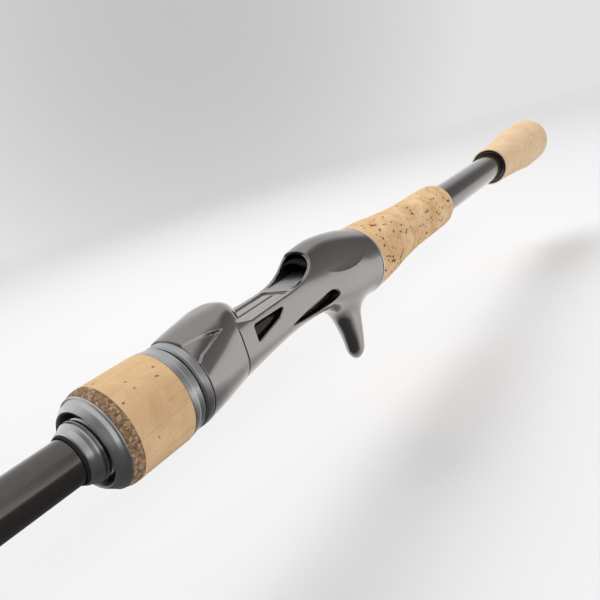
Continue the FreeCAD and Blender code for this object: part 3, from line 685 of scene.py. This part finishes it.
HOOD_STATIONS = [324.7, 325.3, 326.8, 329.5, 333.0, 339.0, 345.0, 350.4]
HOOD_HALF = spline(HOOD_STATIONS, [2.2, 4.3, 6.4, 8.5, 9.7, 10.6, 11.6, 12.4])
HOOD_TOP = spline(HOOD_STATIONS, [9.8, 11.7, 13.5, 14.8, 15.1, 14.8, 14.1, 13.1])
HOOD_BOTTOM = spline(HOOD_STATIONS, [9.0, 9.1, 9.3, 9.7, 10.1, 11.2, 12.0, 12.4])
HOOD_POWER = spline(HOOD_STATIONS, [2.0, 2.0, 2.3, 2.8, 3.2, 2.6, 2.2, 2.0])
HOOD_TIP, HOOD_REAR, HOOD_FRONT, NOSE_BOTTOM, HOOD_BORE = 324.72, 332.55, 350.4, 9.5, 8.3
HOOD_SLOT_HALF, HOOD_SLOT_FRONT, HOOD_SLOT_SHOULDER, HOOD_SLOT_TOP, FAR_BEHIND = 6.4, 349.3, 9.4, 12.7, 200.0
# Outline of the flank's sunk facet: station against the arc length round the axis, on a circle near the skin.
FACET_CIRCLE, FACET_SLOPE, FACET_DEPTH = 13, 0.9, 0.62
FACET = Plate([(s, math.radians(a) * FACET_CIRCLE) for s, a in (
    (351.5, 66), (350.0, 62.5), (346.1, 58.5), (342.0, 54.6), (337.6, 48.2), (340.0, 45.6), (343.2, 41.5),
    (345.4, 38.5), (348.0, 35.5), (349.5, 31.0), (351.5, 27.0))], 0.05, 4)


def hood_field(s, y, z):
    """The sliding hood, with a facet sunk in each flank and a slot for the reel's foot."""
    y = np.abs(y)
    reach = np.where(z >= 0, HOOD_TOP(s), HOOD_BOTTOM(s))
    power = np.where(z >= 0, HOOD_POWER(s), 2.0)
    solid = oval_field(y, z, HOOD_HALF(s), reach, power)
    edge = FACET.at(s, np.arctan2(z, np.maximum(y, 1e-6)) * FACET_CIRCLE)
    solid = solid + np.clip(-FACET_SLOPE * edge, 0, FACET_DEPTH)
    solid = both(solid, s - HOOD_FRONT, 0.3)
    solid = both(solid, HOOD_TIP - s, 0.5)
    under_nose = both(s - HOOD_REAR, z - NOSE_BOTTOM)
    solid = without(solid, under_nose, 0.35)
    roofed = foot_space(s, y, z, HOOD_SLOT_HALF, FAR_BEHIND, HOOD_SLOT_TOP, HOOD_SLOT_SHOULDER)
    below = both(both(y - HOOD_SLOT_HALF, z - 9.0), -z)
    solid = without(solid, both(either(roofed, below), s - HOOD_SLOT_FRONT), 0.2)
    return without(solid, np.hypot(y, z) - HOOD_BORE, 0.1)


# ---------------------------------------------------------------- cork surface


class Pits:
    """Seeded dark pits on a turned cork surface, as a depth and a colour mask."""

    LEAN = 0.35  # radians, spread of their turn from the rod's direction

    def __init__(self, seed, count, start, end, radius, size, stretch):
        rng = np.random.default_rng(seed)
        self.station = rng.uniform(start, end, count)
        self.around = rng.uniform(0, 2 * math.pi, count)
        self.size = rng.uniform(size[0], size[1], count) * rng.uniform(0.5, 1.0, count)
        self.stretch = rng.uniform(stretch[0], stretch[1], count)
        self.lean = rng.normal(0, self.LEAN, count)
        self.strength = rng.uniform(0.45, 1.0, count)
        self.wobble = rng.uniform(0, 2 * math.pi, count)
        self.radius = radius

    def mask(self, stations, around):
        made = np.zeros(stations.shape)
        for s, a, size, stretch, lean, strength, wobble in zip(
                self.station, self.around, self.size, self.stretch, self.lean, self.strength, self.wobble):
            near = np.abs(stations - s) < size * stretch * 1.6 + 0.5
            if not near.any():
                continue
            dx = stations[near] - s
            dy = ((around[near] - a + math.pi) % (2 * math.pi) - math.pi) * self.radius
            u = dx * math.cos(lean) + dy * math.sin(lean)
            v = -dx * math.sin(lean) + dy * math.cos(lean)
            v = v + 0.35 * size * np.sin(u / size * 1.7 + wobble)
            edge = (u / stretch) ** 2 + v ** 2 * (1 + 0.5 * np.sin(u / size * 3.1 + wobble * 2))
            value = strength * np.clip(1.25 - edge / (size * 0.5) ** 2, 0, 1)
            made[near] = np.maximum(made[near], value)
        return made


def cork_piece(name, body, material, profile, replaced, pits, skin, bands, depth, segments, step,
               radius):
    """A turned cork piece whose pits are cut into the mesh and coloured by an attribute.

    Only what lies further than the skin radius from the axis is pitted. Bands are the glue lines
    between corks.
    """
    masks = {}

    def shift(stations, around, radii):
        outer = radii > skin
        masks["pit"] = np.where(outer, pits.mask(stations, around), 0)
        band = np.zeros(stations.shape)
        for place in bands:
            wave = 0.12 * np.sin(3 * around + place)
            band = np.maximum(band, np.exp(-((stations - place - wave) / 0.22) ** 2))
        masks["band"] = band * outer
        return -depth * masks["pit"] - 0.02 * band

    points, quads = lathe_mesh(clockwise(closely(rounded(profile, radius), step)), segments, shift)
    piece = make_piece(name, body, [material], points, quads, replaced)
    for key, values in masks.items():
        layer = piece.data.attributes.new(key, "FLOAT", "POINT")
        layer.data.foreach_set("value", values.ravel().astype(np.float32))


# ---------------------------------------------------------------- building

MATERIALS = {
    "gunmetal": gunmetal(),
    "deck": deck_finish(),
    "liner": black_plastic(),
    "rubber": black_rubber(),
    "blank": blank_finish(),
    "ring": satin("satin grey ring", (0.66, 0.665, 0.675), 0.33),
    "flange": satin("satin silver flange", (0.84, 0.84, 0.845), 0.36),
    "check": satin("satin check", (0.80, 0.80, 0.805), 0.28),
    "trim": polished("bright trim", (0.75, 0.74, 0.73), 0.15),
    "butt_check": polished("dark check", (0.22, 0.215, 0.21), 0.2),
    "thread": polished("threaded barrel", (0.62, 0.61, 0.60), 0.16),
    "cork": cork("sanded cork", (0.72, 0.50, 0.29), (0.58, 0.36, 0.18)),
    "rough_cork": cork("pitted cork", (0.82, 0.585, 0.35), (0.62, 0.37, 0.17), mottling=0.35),
    "pale_cork": cork("pale cork", (0.82, 0.62, 0.41), (0.70, 0.48, 0.28)),
    "burl": burl_cork(),
    "wrap": thread_wrap(),
    "ceramic": ceramic(),
    "guide": polished("dark guide frame", (0.20, 0.20, 0.205), 0.18),
    "foam": foam(),
}


def build_seat():
    field_piece("seat_shell", "rod", ["gunmetal", "liner", "deck"], seat_field,
                (SEAT_REAR, -13.5, -34), (332.4, 13.5, 17.4), ("seat_body",), seat_finish)
    field_piece("hood_shell", "hood", ["gunmetal"], hood_field,
                (324.6, -12.6, -12.6), (350.6, 12.6, 15.4), ("front_hood",))


def build_barrel():
    """Barrel with a real helical thread where the nut runs."""
    pitch, depth, start, end = 1.5, 0.45, 357.0, 381.5
    inner, outer = 6.55, 8.0

    def shift(stations, around, radii):
        turn = (stations - start) / pitch - around / (2 * math.pi)
        phase = np.abs((turn % 1.0) - 0.5) * 2
        crest = np.clip((phase - 0.25) / 0.5, 0, 1)
        fade = np.clip((stations - start) / 1.2, 0, 1) * (radii > outer - 0.1)
        shape = crest * crest * (3 - 2 * crest)
        return -depth * (1 - shape) * fade

    profile = [(331.0, inner), (331.0, outer), (end, outer), (end, inner)]
    lathe("seat_barrel", "rod", "thread", profile, ("seat_body",), 0.15, 160, 0.14, shift)


# Piece, body, slot, material, CAD node, segments, and the section as (station, radius, corner's rounding).
RINGS = (
    ("collar_ring", "hood", "satin_trim", "ring", "hood_collar", 192,
     [(350.45, 8.35), (350.45, 12.2, 0.1), (350.8, 12.5, 0.3), (352.8, 12.45, 0.4), (353.4, 12.0, 0.15),
      (353.4, 9.5), (352.4, 9.5), (352.4, 8.35)]),
    ("nut_ring", "nut", "satin_trim", "ring", "nut_rear_ring", 192,
     [(353.75, 10.02), (353.75, 12.0, 0.15), (354.3, 12.4, 0.3), (355.9, 12.45, 0.5), (356.3, 12.62, 0.1),
      (358.25, 12.95, 0.15), (358.25, 10.02)]),
    ("flange_ring", "nut", "satin_trim", "flange", "nut_flange", 192,
     [(375.05, 9.6), (375.05, 10.88), (378.02, 10.88), (378.02, 12.3, 0.15), (378.4, 12.3, 0.1),
      (378.5, 12.05, 0.05), (378.42, 11.75, 0.05), (378.62, 11.6, 0.05), (379.6, 11.35, 1.2),
      (380.75, 10.45, 0.5), (381.05, 10.1, 0.2), (381.05, 9.8, 0.15), (380.3, 9.6, 0.2)]),
    ("nut_sleeve", "nut", "black_liner", "liner", "nut_insert", 160,
     [(353.8, 9.7), (353.8, 9.98), (374.98, 9.98), (374.98, 8.27), (355.0, 8.27), (355.0, 9.7)]),
    ("check_cone", "rod", "satin_trim", "check", "front_check", 160,
     [(381.5, 5.97), (381.5, 7.9, 0.2), (382.4, 7.9, 0.3), (383.2, 7.35, 0.2), (384.6, 6.85, 0.3),
      (384.8, 6.5, 0.15), (384.8, 5.97)]),
    ("gasket_ring", "rod", "black_rubber", "rubber", "front_gasket", 160,
     [(384.8, 5.97), (384.8, 6.4), (385.5, 6.3, 0.25), (385.5, 5.97)]),
    ("trim_ring", "rod", "bright_trim", "trim", "rear_trim_ring", 192,
     [(255.4, 7.4), (255.4, 13.45, 0.2), (256.22, 13.5, 0.2), (256.22, 7.4)]),
    ("butt_check_ring", "rod", "butt_check_metal", "butt_check", "butt_check", 160,
     [(88.3, 7.66), (88.3, 9.55), (89.6, 9.55, 0.3), (90.2, 9.0, 0.2), (90.1, 8.7, 0.1), (90.5, 8.55, 0.1),
      (90.5, 7.66)]),
)


def build_rings():
    for name, body, slot, material, node, segments, profile in RINGS:
        lathe(name, body, material, profile, (node,), 0.1, segments)


def build_blank():
    """Tapered tube, its wall thinning ahead of the handle."""
    rear, handle_end, tip = 8.2, 385, 1979
    places = np.concatenate([np.linspace(rear, handle_end, 60), np.linspace(400, 1978.8, 120)])
    outer = np.interp(places, [8, 94, 173, 256, 330, handle_end, tip], [7.6, 7.4, 7.3, 6.4, 6.0, 5.9, 0.95])
    outer[0] = 7.6  # square to its rear end
    wall = np.interp(places, [handle_end, tip], [1.2, 0.4])
    inner = np.maximum(outer - wall, 0.5)
    profile = np.concatenate([np.stack([places, outer], 1), np.stack([places, inner], 1)[::-1]])
    points, quads = lathe_mesh(profile, 96)
    make_piece("rod_blank", "rod", ["blank"], points, quads[:, ::-1], ("blank",))


BUTT_RADIUS, WAIST_RADIUS = 14.1, 10.35


def arc_radius(s, start, end, radius):
    """Radii along an arc between two points of a profile, hollow if the arc's own radius is negative."""
    start, end = np.array(start, float), np.array(end, float)
    along = end - start
    length = np.linalg.norm(along)
    normal = np.array([-along[1], along[0]]) / length
    sag = math.sqrt(radius ** 2 - (length / 2) ** 2)
    centre = (start + end) / 2 - normal * sag * math.copysign(1, radius)
    inside = np.maximum(radius ** 2 - (s - centre[0]) ** 2, 0)
    return centre[1] + math.copysign(1, radius) * np.sqrt(inside)


def butt_flank(s):
    """Concave flank of the butt grip, from its domed end to its mouth."""
    return arc_radius(s, (36, BUTT_RADIUS), (91.5, 10.3), -800.0)


def rear_surface(s):
    """Outside of the rear grip: thin waist, concave flare and a rounded crown up to the seat."""
    flare = arc_radius(s, (203, WAIST_RADIUS), (236, 12.3), -300.0)
    crown = arc_radius(s, (236, 12.3), (255.4, 13.3), 200.0)
    return np.where(s < 203, WAIST_RADIUS, np.where(s < 236, flare, crown))


def run(surface, start, end, count):
    """Unrounded profile points along a surface."""
    places = np.linspace(start, end, count)
    return [(s, r, 0.0) for s, r in zip(places, surface(places))]


def build_corks():
    dome = [(BUTT_RADIUS * (1 - math.cos(a)), max(BUTT_RADIUS * math.sin(a), 0.02), 0.0)
            for a in np.linspace(0.0, math.pi / 2, 40)]
    mouth = [(91.5, 10.1, 0.2), (91.5, 9.62, 0.2), (88.3, 9.62), (88.3, 7.66), (8.2, 7.66), (8.2, 0.02)]
    cork_piece("butt_cork", "rod", "pale_cork", dome + run(butt_flank, 36, 91.2, 30) + mouth,
               ("butt_grip",), Pits(11, 60, 5, 90, 12.5, (0.2, 0.6), (1.0, 3.0)), 9.3,
               (26.0, 38.7, 51.4, 64.1, 76.8), 0.12, 220, 0.45, 0.2)
    shoulder = [(173.0, 7.36), (173.0, 8.0, 0.2), (174.0, 9.1, 0.0), (175.6, 9.85, 0.0), (177.6, 10.25, 0.0)]
    crown = [(255.38, 13.25, 0.1), (255.38, 7.36)]
    cork_piece("rear_cork", "rod", "rough_cork", shoulder + run(rear_surface, 180, 255.0, 40) + crown,
               ("rear_grip",), Pits(5, 420, 176, 255, 12.0, (0.3, 1.3), (1.0, 4.2)), 8.4,
               (185.7, 198.4, 211.1, 223.8, 236.5, 249.2), 0.3, 300, 0.3, 0.2)
    cork_piece("fore_cork_grip", "nut", "cork",
               [(358.3, 10.02), (358.3, 12.9, 0.15), (358.6, 13.0, 0.2), (374.95, 13.0, 0.05),
                (374.95, 10.02)],
               ("fore_cork",), Pits(23, 34, 359, 374.5, 13.0, (0.25, 0.7), (1.0, 3.5)), 11.4,
               (), 0.2, 300, 0.3, 0.1)
    cork_piece("burl_band", "nut", "burl",
               [(375.0, 10.92), (375.0, 13.0, 0.05), (376.2, 12.93, 0.8), (377.4, 12.55, 0.5),
                (378.0, 12.25, 0.1), (378.0, 10.92)],
               ("burl_ring",), Pits(31, 40, 375, 378, 12.9, (0.15, 0.35), (1.0, 1.8)), 11.4,
               (), 0.1, 260, 0.3, 0.1)


def dress_cad():
    """Materials for the CAD nodes that stay as they are."""
    kinds = {"_frame": "guide", "_ring": "ceramic", "_wraps": "wrap", "_wrap": "wrap"}
    for name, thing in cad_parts.items():
        pick = None
        if name.startswith(("guide_", "tip_top")):
            pick = next(kind for ending, kind in kinds.items() if name.endswith(ending))
        elif "liner" in name or name == "retaining_ring":
            pick = "liner"
        elif "arbor" in name:
            pick = "foam"
        if pick:
            thing.data.materials.clear()
            thing.data.materials.append(MATERIALS[pick])


def build_stage():
    """Lights, and a floor that fades out with distance and carries a painted dark reflection: in reflections
    only, it is painted near-black where the near flank mirrors it.
    """
    half = 9
    corners = [(-half, -half, FLOOR_Z), (half, -half, FLOOR_Z), (half, half, FLOOR_Z), (-half, half, FLOOR_Z)]
    mesh = bpy.data.meshes.new("floor")
    mesh.from_pydata(corners, [], [(0, 1, 2, 3)])
    floor = link("floor", mesh)
    m = Nodes("pale floor with painted dark reflection").set(Roughness=0.85, Specular_IOR_Level=0.2)
    place = m.add("TexCoord").outputs["Object"]
    length = m.add("VectorMath", operation="LENGTH")
    m.link(place, length.inputs[0])
    m.link(m.span(length.outputs["Value"], 0.3, 1.9, 1.0, 0.0), m.shader.inputs["Alpha"])
    # Painted dark reflection: on this side the floor's colour turns near-black for glossy rays only, so the
    # near flank mirrors a painted dark patch.
    side = m.maths("ADD", m.along(place, (0.90, 0.43, 0.0)), 0.08)
    mirrored = m.add("LightPath").outputs["Is Glossy Ray"]
    painted_dark_reflection = m.maths("MULTIPLY", m.ramp(side, (0.03, 0.0), (0.08, 0.96)), mirrored)
    m.link(m.mix(painted_dark_reflection, (0.77, 0.77, 0.775), (0.03, 0.03, 0.032)), m.shader.inputs["Base Color"])
    mesh.materials.append(m.material)
    add_area("key", (-0.4, -0.5, 1.3), (1.2, 0.9), 16)
    add_area("side", (0.5, 1.4, 0.8), (1.4, 0.7), 10)


def build_world():
    """Pale for the eye; in reflections a bright horizon, a greyer ceiling and two dark sides."""
    world = bpy.data.worlds.new("studio")
    bpy.context.scene.world = world
    world.use_nodes = True
    g = Graph(world.node_tree)
    place = g.add("TexCoord").outputs["Generated"]
    split = g.add("SeparateXYZ")
    g.link(place, split.inputs[0])
    ceiling = g.span(split.outputs["Z"], 0.02, 0.7, 0.88, 0.62)
    ahead = g.span(g.along(place, (-0.765, 0.555, 0.33)), 0.79, 0.96, 1.0, 0.28)
    behind = g.span(g.along(place, (0.93, 0.30, 0.20)), 0.30, 0.88, 1.0, 0.22)
    mirrored = g.maths("MULTIPLY", ceiling, g.maths("MULTIPLY", ahead, behind))
    seen = g.span(g.along(place, (-0.72, -0.66, 0.20)), 0.90, 1.0, 0.76, 0.54, "LINEAR")
    by_eye = g.add("LightPath").outputs["Is Camera Ray"]
    g.link(g.mix(by_eye, mirrored, seen), g.tree.nodes["Background"].inputs["Color"])
    bpy.context.scene.view_settings.view_transform = "Standard"


add_camera()
build_seat()
build_barrel()
build_rings()
build_blank()
build_corks()
dress_cad()
build_stage()
build_world()
